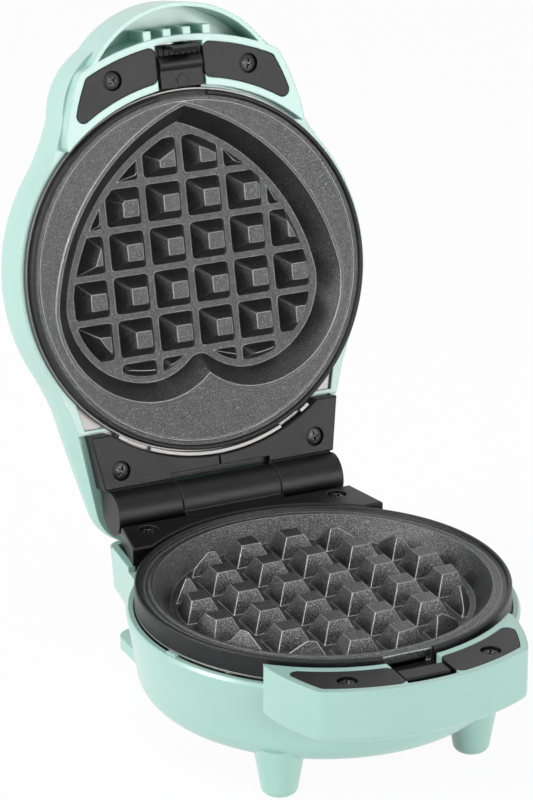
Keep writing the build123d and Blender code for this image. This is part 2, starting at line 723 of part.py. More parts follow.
def make_hinge_block():
    """Hinge carrier in the base's neck: a block, a low shelf behind it and the middle knuckle."""
    body = slab(hinge_plan(), neck_rim_z, lip_z)
    body = chamfer(body.edges().group_by(Axis.Z)[-1], 0.4)
    inset = wall + 0.6
    plug = Polyline([(-block_front_x + inset, block_front_y), (-block_back_x + inset, block_back_y),
                     (block_back_x - inset, block_back_y), (block_front_x - inset, block_front_y)],
                    close=True)
    plug = make_face(plug) - Circle(shell_radius)
    body += slab(plug, lip_z - base_flange + 0.02, neck_rim_z)
    saddle = [(block_back_y - 3, saddle_z - saddle_thick + 0.02), (block_back_y - 3, neck_rim_z + 1)]
    saddle += [(block_back_y, neck_rim_z + 1), (block_back_y + 1.6, saddle_z), (saddle_back_y, saddle_z)]
    saddle += [(saddle_back_y, saddle_z - saddle_thick + 0.02)]
    half = block_back_x - wall - 0.5
    body += side_prism(saddle, -half, half)
    inner = knuckle_seam_x - knuckle_gap / 2
    web = [(block_back_y - 2, saddle_z), (block_back_y - 2, lip_z - 0.4), (hinge_y, hinge_z)]
    web += [(hinge_y - 2.2, saddle_z)]
    body += side_prism(web, -inner, inner)
    body += cross_rod(barrel_radius, -inner, inner, hinge_y, hinge_z)
    body -= cross_rod(hinge_pin_radius + seat, -inner - 1, inner + 1, hinge_y, hinge_z)
    for x in (-block_screw_x, block_screw_x):
        body -= screw_hole(x, block_screw_y, lip_z, hinge_screw_length)
    return body


def make_hinge_pin():
    end = barrel_end_x - pin_recess
    pin = cross_rod(hinge_pin_radius, -end, end, hinge_y, hinge_z)
    return chamfer(pin.edges(), 0.3)


def gland_place():
    """Where the gland sits: Z points straight out of the neck's sloping back wall."""
    run = neck_waist_back_y - neck_low_back_y
    rise = neck_waist_z - base_bottom_z
    share = (gland_z - base_bottom_z) / rise
    lean = math.degrees(math.atan2(run, rise))
    return Pos(0, neck_low_back_y + share * run, gland_z) * Rot(-90 - lean, 0, 0)


def make_cord_gland():
    """Bushing in the back of the neck that the supply lead would enter by."""
    gland = Pos(0, 0, -2) * Cylinder(gland_radius, 6) + Pos(0, 0, 1.02) * Cylinder(gland_radius + 1.8, 2)
    return gland_place() * (gland - Cylinder(gland_bore, 20))


def make_terminal_block():
    x = terminal_block_x
    body = block(-x, x, 46, 54, floor_z + 0.02, floor_z + 7)
    for index in range(3):
        body -= rod(1.4, floor_z + 3, floor_z + 9, (index - 1) * 5.8, 50)
    return body


def make_thermal_fuse():
    z = lip_z - cavity_depth - plate_thick - fuse_radius - seat
    fuse = cross_rod(fuse_radius, -6, 6, 14, z)
    return fuse + cross_rod(0.5, -13, 13, 14, z)


def wire(points):
    """A wire bent along straight runs with rounded corners."""
    path = FilletPolyline(*points, radius=3.0)
    return sweep(path.location_at(0) * Circle(wire_radius), path)


def make_base_wires():
    wires = []
    low = base_heater_z - terminal_length
    for angle in terminal_angles:
        x, y = place(heater_ring_radius, angle)
        wires.append(wire([(x, y, low - seat), (x, y, 20.2), (x, 46 - seat, 20.2)]))
    return wires


# Lid, drawn shut

def make_lid_plate():
    lip_inner = plate_radius - lip_width
    skirt_inner = plate_radius - skirt_thick
    skirt_high = lid_z + lid_skirt_height
    land = lid_z + land_drop
    floor = lid_z + lid_floor_depth
    points = [(0, land), (ring_radius - 0.5, land), (ring_radius, land - 0.3), (ring_radius + 0.5, land)]
    points += [(lip_inner - 0.3, land), (lip_inner, lid_z + 0.2), (lip_inner + 0.2, lid_z)]
    points += [(plate_radius - 0.4, lid_z), (plate_radius, lid_z + 0.5)]
    points += [(plate_radius, skirt_high), (skirt_inner, skirt_high)]
    points += [(skirt_inner, land + plate_thick), (0, land + plate_thick)]
    plate = turned(points)
    heart = heart_face()
    bead = offset(heart, bead_width) - heart
    plate += slab(bead, land - bead_height, land + 0.5)
    taper = math.degrees(math.atan(heart_wall_run / (floor - land)))
    wide = offset(heart, plate_thick - 1.5)
    plate += slab(wide & Circle(skirt_inner), land + 0.5, lid_z + lid_flange - 0.1)
    plate += slab(wide & Circle(pan_wall_radius - pan_thick - 0.3), land + 0.5,
                  land + 0.6 * (floor - land) + plate_thick)
    plate += slab(offset(heart, plate_thick - heart_wall_run), land + 0.5, floor + plate_thick)
    recess = Pos(0, 0, land) * extrude(heart, amount=floor - land, taper=taper)
    plate -= recess
    plate -= slab(heart, land - 1, land)
    slope = (lid_foot_half - lid_peak_half) / (lid_floor_depth - lid_peak_drop)
    clip_face = offset(heart, -heart_wall_run - heart_clip)
    lean = math.degrees(math.atan(slope))
    clip = mirror(extrude(clip_face, amount=lid_floor_depth + 0.5, taper=lean), about=Plane.XY)
    clip = Pos(0, 0, floor + 0.5) * clip
    plate += waffle_grid(lid_pitch, lid_foot_half + 0.5 * slope, lid_peak_half, floor + 0.5,
                         lid_z + lid_peak_drop, lid_grid_shift, clip, (lid_foot_corner, lid_peak_corner))
    plate = plate_bosses(plate, skirt_high, land + plate_thick - 0.1, land + 1.2)
    return plate - block(-notch_half, notch_half, -plate_radius - 1, notch_y, lid_z - 1, land + 0.02)


def make_lid_reflector():
    wing = offset(tail_face(), -wall - 0.4, kind=Kind.INTERSECTION) & Pos(0, 30) * Rectangle(120, 64)
    for side in (-1, 1):
        wing -= Pos(side * bracket_screw_x, bracket_screw_y) * Circle(screw_shank_radius + boss_wall + 0.3)
    pan = make_pan(lid_flange, pan_rim_radius, wing)
    return Pos(0, 0, lid_z) * mirror(pan, about=Plane.XY)


def crown(level):
    """All that lies under the lid's domed top; level is the height of its crown."""
    under = Rot(0, 90, 0) * Cylinder(crown_radius, 300)
    return Pos(0, crown_y, level - crown_radius) * under


def crown_height(y, level):
    """Height at y of a dome whose crown is at the height level."""
    return level - crown_radius + math.sqrt(crown_radius ** 2 - (y - crown_y) ** 2)


def domed_slab(face, low, level, edge_round):
    """A face raised from low to the dome, rounded round its top."""
    body = slab(face, low, lid_top + 5) & crown(level)
    top = body.faces().sort_by(Axis.Z)[-1]
    return fillet(top.edges(), edge_round)


def make_lid_outside():
    rim = Pos(0, 0, lid_z + lid_rim_drop) * hull_face(0, 0)
    wide = Pos(0, 0, lid_z + lid_wide_drop) * hull_face(lid_flare, tail_flare)
    body = domed_slab(hull_face(lid_flare, tail_flare), lid_z + lid_wide_drop, lid_top, lid_edge_round)
    body += loft([rim, wide])
    front = handle_block_face() + grip_face()
    front = front - Circle(handle_inner_radius)
    front = front.faces().sort_by(Axis.Y)[0]
    return body + slab(front, lid_z, lid_z + lid_rim_drop + 4)


def make_lid_shell():
    outside = make_lid_outside()
    shell = outside
    high = lid_top - wall
    inner_round = lid_edge_round - wall
    shell -= domed_slab(Circle(shell_inner_radius), lid_z - 1, high, inner_round)
    tail = offset(tail_face(), -wall, kind=Kind.INTERSECTION)
    shell -= domed_slab(tail, lid_z - 1, high - tail_roof_extra, inner_round - 1)
    rail = block(-tail_root_x + 3, tail_root_x - 3, tail_rim_y - 0.4, tail_rim_y + 0.9, lid_z,
                 lid_z + lid_flange - 0.05)
    shell += rail - rod(shell_inner_radius + 0.2, lid_z - 1, lid_top)
    rim = [(tail_rim_y - 1, lid_z - 2), (tail_rim_y - 1, lid_z + tail_rim_front)]
    rim += [(tail_rim_y + 1, lid_z + tail_rim_front), (bracket_front_y, lid_z + tail_seat)]
    rim += [(tail_bend_y, lid_z + tail_seat), (tail_end_y + 1, lid_z + tail_rim_back)]
    rim += [(tail_end_y + 1, lid_z - 2)]
    shell -= side_prism(rim, -60, 60)
    for inset, level in ((wall + 0.6, high - 5), (lid_edge_round - wall, high)):
        inner = Pos(0, grip_centre_y) * Circle(grip_radius - inset)
        inner &= Pos(0, -85) * Rectangle(120, 60)
        shell -= slab(inner, lid_z + head_floor_depth, lid_top) & crown(level)
    for right in (False, True):
        shell -= slab(inlay_face(right, -fit_gap), lid_z - 1, lid_z + seat_depth)
        shell -= slab(inlay_face(right, 1.6), lid_z + seat_depth - 0.1, lid_z + head_floor_depth + 1)
    pocket = grip_face(grip_wall) - Circle(handle_outer_radius)
    pocket = pocket.faces().sort_by(Axis.Y)[0]
    shell -= slab(pocket, lid_z - 1, lid_z + grip_depth)
    for index in range(rib_count):
        x = (index - (rib_count - 1) / 2) * rib_pitch
        shell += block(x - rib_width / 2, x + rib_width / 2, -handle_outer_radius - rib_reach,
                       -handle_outer_radius + 2, lid_z + 0.4, lid_z + grip_depth + 0.5)
    channel = Rectangle(2 * channel_half, 200) & Circle(channel_radius)
    channel = (channel - Circle(shell_inner_radius - 1)) & Pos(0, -70) * Rectangle(40, 50)
    shell -= slab(channel, lid_z - 1, lid_z + head_floor_depth + 0.5)
    shell -= block(-channel_half, channel_half, window_front_y, window_back_y, high - 2, lid_top + 1)
    for x in (-inlay_screw_x, inlay_screw_x):
        shell += rod(screw_shank_radius + boss_wall, lid_z + seat_depth, high, x, inlay_screw_y)
        shell -= rod(screw_shank_radius + seat, lid_z, lid_z + screw_recess + inlay_screw_length + 1,
                     x, inlay_screw_y)
    shell -= cross_rod(lever_pin_radius + seat, -channel_half - 1.2, channel_half + 1.2,
                       lever_pivot_y, lid_z + lever_pivot_depth)
    for angle in pan_post_angles:
        shell += Rot(0, 0, angle) * block(pan_wall_radius + 0.4, shell_inner_radius + 0.4, -2.2, 2.2,
                                          lid_z + lid_flange + pan_thick, high)
    for x in (-bracket_screw_x, bracket_screw_x):
        low = lid_z + bracket_drop + bracket_thick + 0.1
        shell += rod(screw_shank_radius + boss_wall, low, high, x, bracket_screw_y)
        shell -= rod(screw_shank_radius + seat, lid_z, lid_z + hinge_screw_length + 1, x, bracket_screw_y)
    shell -= rod(lens_radius + fit_gap, high - 1, lid_top + 1, 0, lens_y)
    return shell & outside


def bracket_plan():
    outline = Polyline([(-bracket_front_x, bracket_front_y), (-bracket_back_x, bracket_back_y),
                        (bracket_back_x, bracket_back_y), (bracket_front_x, bracket_front_y)], close=True)
    return make_face(outline) - Circle(bracket_arc_radius)


def bracket_sides():
    """The bracket's two edges, which reach back to the lid's sloping rim."""
    outline = Polyline([(-bracket_front_x, bracket_front_y), (-bracket_back_x, bracket_back_y),
                        (bracket_back_x, bracket_back_y), (bracket_front_x, bracket_front_y)], close=True)
    face = make_face(outline)
    return face - offset(tail_face(), -wall - 0.3, kind=Kind.INTERSECTION)


def make_hinge_bracket():
    """Hinge half in the lid's tail: a flat bracket with two outer knuckles."""
    face = lid_z + bracket_drop
    body = slab(bracket_plan(), face, face + bracket_thick)
    body = chamfer(body.edges().group_by(Axis.Z)[0], 0.4)
    inner = knuckle_seam_x + knuckle_gap / 2
    body -= block(-inner, inner, recess_y, 90, face - 1, face + bracket_thick + 1)
    body += block(-inner - 1, inner + 1, recess_y - 1, bracket_back_y + 0.6, face + recess_depth,
                  face + bracket_thick)
    slope = (tail_rim_back - tail_seat) / (tail_end_y + 1 - tail_bend_y)
    deep = tail_seat + slope * (bracket_back_y - tail_bend_y) - 0.15
    skirt = [(tail_bend_y, lid_z + tail_seat - 0.15), (tail_bend_y, face + 1), (bracket_back_y, face + 1)]
    skirt += [(bracket_back_y, lid_z + deep)]
    body += side_prism(skirt, -60, 60) & slab(bracket_sides(), face, face + 20)
    body -= block(-seam_width / 2, seam_width / 2, 50, 90, face - 1, face + 1.2)
    for side in (-1, 1):
        left, right = sorted((side * inner, side * barrel_end_x))
        arm = [(bracket_back_y - 3, face + 1.0), (hinge_y, face + 0.4), (hinge_y, hinge_z + barrel_radius)]
        arm += [(bracket_back_y - 3, face + bracket_thick)]
        body += side_prism(arm, left, right)
        body += cross_rod(barrel_radius, left, right, hinge_y, hinge_z)
    body -= cross_rod(hinge_pin_radius + slip, -barrel_end_x + pin_recess, barrel_end_x + 1, hinge_y, hinge_z)
    for side in (-1, 1):
        middle = side * (inner + barrel_end_x) / 2
        body += stop_heel(middle)
    for x in (-bracket_screw_x, bracket_screw_x):
        body -= screw_hole(x, bracket_screw_y, face, hinge_screw_length - 2, side=-1)
    return body


def stop_heel(x):
    """Heel under a lid knuckle, drawn where it meets the shelf with the lid open."""
    low = saddle_z + 0.1
    points = [(hinge_y - 5.2, low), (hinge_y - 5.2, low + 1.2), (hinge_y - 4.4, hinge_z - 4.4)]
    points += [(hinge_y - 1.0, hinge_z - 5.0), (hinge_y - 2.2, low)]
    heel = side_prism(points, x - stop_width / 2, x + stop_width / 2)
    turn = Pos(0, hinge_y, hinge_z) * Rot(lid_open_angle, 0, 0) * Pos(0, -hinge_y, -hinge_z)
    return turn * heel


def make_screw_pair(x, y, face, side, length):
    return [screw(place_x, y, face - side * screw_recess, length, side > 0) for place_x in (-x, x)]


def make_thermostat():
    low = lid_z + lid_floor_depth + plate_thick + seat
    body = rod(thermostat_radius, low, low + 1.2) + rod(thermostat_radius - 1.5, low, low + thermostat_height)
    return body


def lens_seat_height():
    """Where the lens flange rests, just clear of the domed roof at the flange's far edge."""
    return crown_height(lens_y - lens_radius - lens_flange, lid_top - wall) - seat


def make_lens():
    under = lens_seat_height()
    lens = rod(lens_radius, under - 0.5, crown_height(lens_y, lid_top) + lens_proud, 0, lens_y)
    lens = fillet(lens.edges().group_by(Axis.Z)[-1], 0.4)
    return lens + rod(lens_radius + lens_flange, under - lens_flange_thick, under, 0, lens_y)


def make_lamp():
    z = lens_seat_height() - lens_flange_thick - lamp_radius - seat
    lamp = cross_rod(lamp_radius, -5, 5, lens_y, z)
    return lamp


def make_lid_wires():
    wires = []
    level = lid_heater_z + terminal_length - wire_radius
    for side, angle in ((1, terminal_angles[0]), (-1, terminal_angles[1])):
        x, y = place(heater_ring_radius, angle)
        start = y + terminal_radius + seat
        wires.append(wire([(x, start, level), (side * 12, 57, level), (side * 12, 61.4, level - 9)]))
    return wires


# Latch

def make_lever():
    """Rocking latch: inner leg with an arrow, rolled band, hook, and a thumb pad on top.

    It is drawn free; rocked 6.5 degrees, its nose catches under the ledge in the base."""
    face = lid_z + lever_face_depth
    ridge = lid_z + ridge_depth
    pivot = lid_z + lever_pivot_depth
    stem_front = lever_pivot_y - thumb_half_length + 0.6
    stem_back = lever_pivot_y + thumb_half_length - 0.6
    points = [(lever_front_y, face), (lever_front_y, face + 2.8), (stem_back, face + 4.5)]
    points += [(stem_back, lid_top - wall - 1.5), (lever_pivot_y + thumb_half_length, lid_top + 0.2)]
    points += [(lever_pivot_y + thumb_half_length, lid_z + thumb_top_depth)]
    points += [(lever_pivot_y - thumb_half_length, lid_z + thumb_top_depth)]
    points += [(lever_pivot_y - thumb_half_length, lid_top + 0.2), (stem_front, lid_top - wall - 1.5)]
    points += [(stem_front, ridge + 4.0), (lever_back_y, ridge + 3.2), (lever_back_y, ridge)]
    points += [(lever_ridge_y, ridge), (lever_ridge_y, face)]
    lever = side_prism(points, -lever_half, lever_half)
    band = cross_rod(2.6, -lever_half, lever_half, (lever_band_y + lever_ridge_y) / 2, face + 1.7)
    lever += band
    for index in range(7):
        x = (index - 3) * 1.9
        lever += block(x - 0.4, x + 0.4, lever_back_y + 0.2, lever_ridge_y, ridge - 0.5, ridge + 0.5)
    tongue_low = handle_top_z - catch_drop - ledge_thick - hook_nose_height + 0.05
    nose_high = tongue_low + hook_nose_height
    tongue = [(lever_back_y, ridge + 1), (lever_back_y + hook_thick, ridge + 1)]
    tongue += [(lever_back_y + hook_thick, nose_high), (lever_back_y + hook_thick + hook_reach, nose_high)]
    tongue += [(lever_back_y + hook_thick + hook_reach, nose_high - 0.4)]
    tongue += [(lever_back_y + hook_thick * 0.6, tongue_low), (lever_back_y, tongue_low)]
    lever += side_prism(tongue, -hook_half, hook_half)
    arrow = Polyline([(0, 2.2), (2.5, 0), (1.6, 0), (1.6, -2.0), (-1.6, -2.0), (-1.6, 0), (-2.5, 0)],
                     close=True)
    arrow = Pos(0, -61.2) * Rot(0, 0, 180) * make_face(arrow)
    lever += slab(arrow, face - 0.3, face + 0.5)
    lever -= cross_rod(lever_pin_radius + slip, -20, 20, lever_pivot_y, pivot)
    lever -= block(-3.0, 3.0, lever_pivot_y - 2.5, lever_front_y, pivot - 2.5, pivot + 2.5)
    return lever


def make_latch_pin():
    end = channel_half + 1.2
    return cross_rod(lever_pin_radius, -end, end, lever_pivot_y, lid_z + lever_pivot_depth)


def make_latch_spring():
    """Flat detent washer round the pin inside the lever's slot."""
    z = lid_z + lever_pivot_depth
    ring = cross_rod(2.3, -2.6, 2.6, lever_pivot_y, z)
    return ring - cross_rod(lever_pin_radius + 0.1, -5, 5, lever_pivot_y, z)


def make_base():
    inlay_face_z = handle_top_z - 0.08
    pieces = {"base_shell": make_base_shell()}
    pieces["bottom_cover"] = make_bottom_cover()
    pieces["bottom_cover_screws"] = make_cover_screws()
    pieces["foot_pads"] = make_foot_pads()
    pieces["base_plate"] = make_base_plate()
    pieces["base_heater"] = make_heater(base_heater_z, -1)
    pieces["base_reflector"] = make_base_reflector()
    pieces["base_plate_screws"] = make_plate_screws(lip_z - base_flange - pan_thick, -1)
    pieces["base_inlay_left"] = make_inlay(False, inlay_face_z, 1)
    pieces["base_inlay_right"] = make_inlay(True, inlay_face_z, 1)
    pieces["base_inlay_screws"] = make_screw_pair(inlay_screw_x, inlay_screw_y, inlay_face_z, 1,
                                                  inlay_screw_length)
    pieces["latch_catch"] = make_latch_catch()
    pieces["base_hinge_block"] = make_hinge_block()
    pieces["base_hinge_screws"] = make_screw_pair(block_screw_x, block_screw_y, lip_z, 1,
                                                  hinge_screw_length)
    pieces["hinge_pin"] = make_hinge_pin()
    pieces["cord_gland"] = make_cord_gland()
    pieces["terminal_block"] = make_terminal_block()
    pieces["thermal_fuse"] = make_thermal_fuse()
    pieces["base_wires"] = make_base_wires()
    return pieces


def make_lid():
    inlay_face_z = lid_z + 0.08
    pieces = {"lid_shell": make_lid_shell()}
    pieces["lid_plate"] = make_lid_plate()
    pieces["lid_heater"] = make_heater(lid_heater_z, 1)
    pieces["lid_reflector"] = make_lid_reflector()
    pieces["lid_plate_screws"] = make_plate_screws(lid_z + lid_flange + pan_thick, 1)
    pieces["lid_inlay_left"] = make_inlay(False, inlay_face_z, -1)
    pieces["lid_inlay_right"] = make_inlay(True, inlay_face_z, -1)
    pieces["lid_inlay_screws"] = make_screw_pair(inlay_screw_x, inlay_screw_y, inlay_face_z, -1,
                                                 inlay_screw_length)
    pieces["lid_hinge_bracket"] = make_hinge_bracket()
    pieces["lid_hinge_screws"] = make_screw_pair(bracket_screw_x, bracket_screw_y,
                                                 lid_z + bracket_drop, -1, hinge_screw_length - 2)
    pieces["thermostat"] = make_thermostat()
    pieces["indicator_lens"] = make_lens()
    pieces["indicator_lamp"] = make_lamp()
    pieces["lid_wires"] = make_lid_wires()
    pieces["latch_pin"] = make_latch_pin()
    pieces["latch_spring"] = make_latch_spring()
    pieces["latch_lever"] = make_lever()
    return pieces


def solids_of(shape):
    parts = shape if isinstance(shape, list) else [shape]
    return [solid for part in parts for solid in part.solids()]


os.makedirs("parts", exist_ok=True)
placed = {name: solids_of(shape) for name, shape in make_base().items()}
for name, shape in make_lid().items():
    placed[name] = solids_of(lid_up(Compound(solids_of(shape))))
whole = Compound([solid for solids in placed.values() for solid in solids]).bounding_box()
# The origin is the middle of the open maker's outline on the table.
shift = Pos(0, -(whole.min.Y + whole.max.Y) / 2, 0)
for name, solids in placed.items():
    moved = [shift * solid for solid in solids]
    node = moved[0] if len(moved) == 1 else Compound(moved)
    node.label = name
    export_step(node, f"parts/{name}.step")
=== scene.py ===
import bpy
import bmesh
import json
import math
from mathutils import Matrix, Vector


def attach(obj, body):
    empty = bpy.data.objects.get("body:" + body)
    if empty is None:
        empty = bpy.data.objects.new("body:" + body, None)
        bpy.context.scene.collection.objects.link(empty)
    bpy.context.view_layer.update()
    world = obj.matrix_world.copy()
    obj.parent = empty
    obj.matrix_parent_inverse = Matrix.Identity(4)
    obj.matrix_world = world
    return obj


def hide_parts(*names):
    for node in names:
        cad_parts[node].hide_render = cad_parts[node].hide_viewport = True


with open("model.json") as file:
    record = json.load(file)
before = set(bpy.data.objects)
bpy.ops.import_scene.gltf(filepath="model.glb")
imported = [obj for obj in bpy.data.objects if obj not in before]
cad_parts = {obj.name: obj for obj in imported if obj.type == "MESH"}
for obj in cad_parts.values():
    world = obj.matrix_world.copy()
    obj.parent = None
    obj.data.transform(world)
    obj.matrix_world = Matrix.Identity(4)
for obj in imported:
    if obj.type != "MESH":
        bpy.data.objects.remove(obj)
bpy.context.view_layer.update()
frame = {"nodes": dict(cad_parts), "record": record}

# Camera: a long lens from the front left, a little above, as in the photograph. Its angle,
# distance and aim were fitted to the plates' lips and grids, the screws and the front feet.
camera_azimuth = math.radians(-25.11)
camera_elevation = math.radians(21.50)
camera_roll = math.radians(-0.17)
camera_distance = 1.01686
camera_target = Vector((-0.03046, -0.05272, 0.12081))
camera_back = Vector((math.sin(camera_azimuth) * math.cos(camera_elevation),
                      -math.cos(camera_azimuth) * math.cos(camera_elevation),
                      math.sin(camera_elevation)))
camera_right = Vector((math.cos(camera_azimuth), math.sin(camera_azimuth), 0))
camera_up = camera_back.cross(camera_right)
turned_right = camera_right * math.cos(camera_roll) + camera_up * math.sin(camera_roll)
turned_up = camera_back.cross(turned_right)
camera_place = camera_target + camera_back * camera_distance
lens = bpy.data.cameras.new("studio_lens")
lens.sensor_fit = "AUTO"
lens.sensor_width = 36.0
lens.lens = 159.18
lens.clip_start = 0.05
lens.clip_end = 20.0
camera = bpy.data.objects.new("studio_camera", lens)
camera.matrix_world = Matrix((
    (turned_right.x, turned_up.x, camera_back.x, camera_place.x),
    (turned_right.y, turned_up.y, camera_back.y, camera_place.y),
    (turned_right.z, turned_up.z, camera_back.z, camera_place.z),
    (0, 0, 0, 1)))
bpy.context.scene.collection.objects.link(camera)
bpy.context.scene.camera = camera
bpy.context.scene.view_settings.view_transform = "Standard"


# Studio: a big soft key from the left, a low panel at the front right that the dark plates
# mirror, and a weak lamp overhead. The room is white to the eye and pale grey as a light.
def soft_lamp(name, place, aim, size, watts):
    """A round area lamp at its place, turned towards its aim."""
    data = bpy.data.lights.new(name, "AREA")
    data.shape = "DISK"
    data.size = size
    data.energy = watts
    lamp = bpy.data.objects.new(name, data)
    lamp.location = place
    lamp.rotation_euler = (Vector(aim) - Vector(place)).to_track_quat("-Z", "Y").to_euler()
    bpy.context.scene.collection.objects.link(lamp)


soft_lamp("key", (-1.40, 0.05, 0.65), (0, 0, 0.09), 0.8, 17.0)
soft_lamp("front_panel", (0.55, -1.40, 0.30), (0, 0.03, 0.10), 0.8, 12.0)
soft_lamp("overhead", (-0.15, 0.0, 1.40), (0, 0, 0.05), 0.6, 1.5)


def wire_up(tree, pairs):
    """Links each pair of sockets in a node tree."""
    for start, end in pairs:
        tree.links.new(start, end)


def seen_rays(tree, ray):
    """1 for the rays that look at the background: straight, mirrored or through glass."""
    straight_or_mirrored = tree.nodes.new("ShaderNodeMath")
    all_seen = tree.nodes.new("ShaderNodeMath")
    for sum_of in (straight_or_mirrored, all_seen):
        sum_of.operation = "ADD"
        sum_of.use_clamp = True
    wire_up(tree, [
        (ray.outputs["Is Camera Ray"], straight_or_mirrored.inputs[0]),
        (ray.outputs["Is Glossy Ray"], straight_or_mirrored.inputs[1]),
        (straight_or_mirrored.outputs[0], all_seen.inputs[0]),
        (ray.outputs["Is Transmission Ray"], all_seen.inputs[1])])
    return all_seen.outputs[0]


room = bpy.data.worlds.new("white_room")
room.use_nodes = True
sky = room.node_tree.nodes
sky.clear()
room_light = sky.new("ShaderNodeBackground")
room_light.inputs["Color"].default_value = (0.94, 0.95, 0.97, 1)
room_light.inputs["Strength"].default_value = 0.42
room_white = sky.new("ShaderNodeBackground")
room_white.inputs["Color"].default_value = (1, 1, 1, 1)
room_white.inputs["Strength"].default_value = 1.0
room_ray = sky.new("ShaderNodeLightPath")
room_choice = sky.new("ShaderNodeMixShader")
room_out = sky.new("ShaderNodeOutputWorld")
wire_up(room.node_tree, [
    (seen_rays(room.node_tree, room_ray), room_choice.inputs["Fac"]),
    (room_light.outputs[0], room_choice.inputs[1]), (room_white.outputs[0], room_choice.inputs[2]),
    (room_choice.outputs[0], room_out.inputs["Surface"])])
bpy.context.scene.world = room

# Table top: a plain white board that runs on behind the object and keeps a faint shadow.
board_half = 4.0
board_height = -0.0002
board_glow = 0.955                  # how far the board looks plain white to the eye
table_mesh = bpy.data.meshes.new("table_top")
table_mesh.from_pydata([(-board_half, -board_half, board_height), (board_half, -board_half, board_height),
                        (board_half, board_half, board_height), (-board_half, board_half, board_height)],
                       [], [(0, 1, 2, 3)])
table_top = bpy.data.objects.new("table_top", table_mesh)
bpy.context.scene.collection.objects.link(table_top)
board = bpy.data.materials.new("white_board")
board.use_nodes = True
board_nodes = board.node_tree.nodes
board_nodes.clear()
board_paint = board_nodes.new("ShaderNodeBsdfDiffuse")
board_paint.inputs["Color"].default_value = (0.86, 0.87, 0.87, 1)
board_white = board_nodes.new("ShaderNodeEmission")
board_white.inputs["Strength"].default_value = 1.0
board_ray = board_nodes.new("ShaderNodeLightPath")
board_share = board_nodes.new("ShaderNodeMath")
board_share.operation = "MULTIPLY"
board_share.inputs[1].default_value = board_glow
board_mix = board_nodes.new("ShaderNodeMixShader")
board_out = board_nodes.new("ShaderNodeOutputMaterial")
wire_up(board.node_tree, [
    (seen_rays(board.node_tree, board_ray), board_share.inputs[0]),
    (board_share.outputs[0], board_mix.inputs["Fac"]),
    (board_paint.outputs[0], board_mix.inputs[1]), (board_white.outputs[0], board_mix.inputs[2]),
    (board_mix.outputs[0], board_out.inputs["Surface"])])
table_mesh.materials.append(board)


# Base shell and lid shell: the two housings, injection moulded in mint polypropylene.
# The skin is smooth with a satin gloss, and every edge of the mould has a small round.
def new_group(name, inputs, outputs):
    """An empty shader node group with the named sockets."""
    group = bpy.data.node_groups.new(name, "ShaderNodeTree")
    for label, value in inputs:
        socket = group.interface.new_socket(label, in_out="INPUT", socket_type="NodeSocketFloat")
        socket.default_value = value
    for label, kind in outputs:
        group.interface.new_socket(label, in_out="OUTPUT", socket_type=kind)
    return group, group.nodes.new("NodeGroupInput"), group.nodes.new("NodeGroupOutput")


# mould_skin gives the fine pebble of a mould or a sprayed coat, a slow change of tone, and
# soft edges where two faces meet, with a mask of those edges.
mould_skin, skin_in, skin_out = new_group(
    "mould_skin",
    [("Grain per metre", 2500.0), ("Grain height", 0.1), ("Ripple per metre", 60.0),
     ("Edge round", 0.0005)],
    [("Normal", "NodeSocketVector"), ("Tone", "NodeSocketFloat"), ("Grain", "NodeSocketFloat"),
     ("Edge", "NodeSocketFloat")])
skin_at = mould_skin.nodes.new("ShaderNodeTexCoord")
grain = mould_skin.nodes.new("ShaderNodeTexNoise")
grain.inputs["Detail"].default_value = 1.5
ripple = mould_skin.nodes.new("ShaderNodeTexNoise")
ripple.inputs["Detail"].default_value = 3.0
rounded = mould_skin.nodes.new("ShaderNodeBevel")
rounded.samples = 6
pebble = mould_skin.nodes.new("ShaderNodeBump")
pebble.inputs["Distance"].default_value = 0.0002
skin_face = mould_skin.nodes.new("ShaderNodeNewGeometry")
turn_away = mould_skin.nodes.new("ShaderNodeVectorMath")
turn_away.operation = "DOT_PRODUCT"
edge_mask = mould_skin.nodes.new("ShaderNodeMapRange")
edge_mask.inputs["From Min"].default_value = 0.995
edge_mask.inputs["From Max"].default_value = 0.80
wire_up(mould_skin, [
    (skin_at.outputs["Object"], grain.inputs["Vector"]),
    (skin_in.outputs["Grain per metre"], grain.inputs["Scale"]),
    (skin_at.outputs["Object"], ripple.inputs["Vector"]),
    (skin_in.outputs["Ripple per metre"], ripple.inputs["Scale"]),
    (skin_in.outputs["Edge round"], rounded.inputs["Radius"]),
    (grain.outputs["Fac"], pebble.inputs["Height"]),
    (skin_in.outputs["Grain height"], pebble.inputs["Strength"]),
    (rounded.outputs["Normal"], pebble.inputs["Normal"]),
    (pebble.outputs["Normal"], skin_out.inputs["Normal"]),
    (ripple.outputs["Fac"], skin_out.inputs["Tone"]),
    (grain.outputs["Fac"], skin_out.inputs["Grain"]),
    (rounded.outputs["Normal"], turn_away.inputs[0]),
    (skin_face.outputs["Normal"], turn_away.inputs[1]),
    (turn_away.outputs["Value"], edge_mask.inputs["Value"]),
    (edge_mask.outputs["Result"], skin_out.inputs["Edge"])])


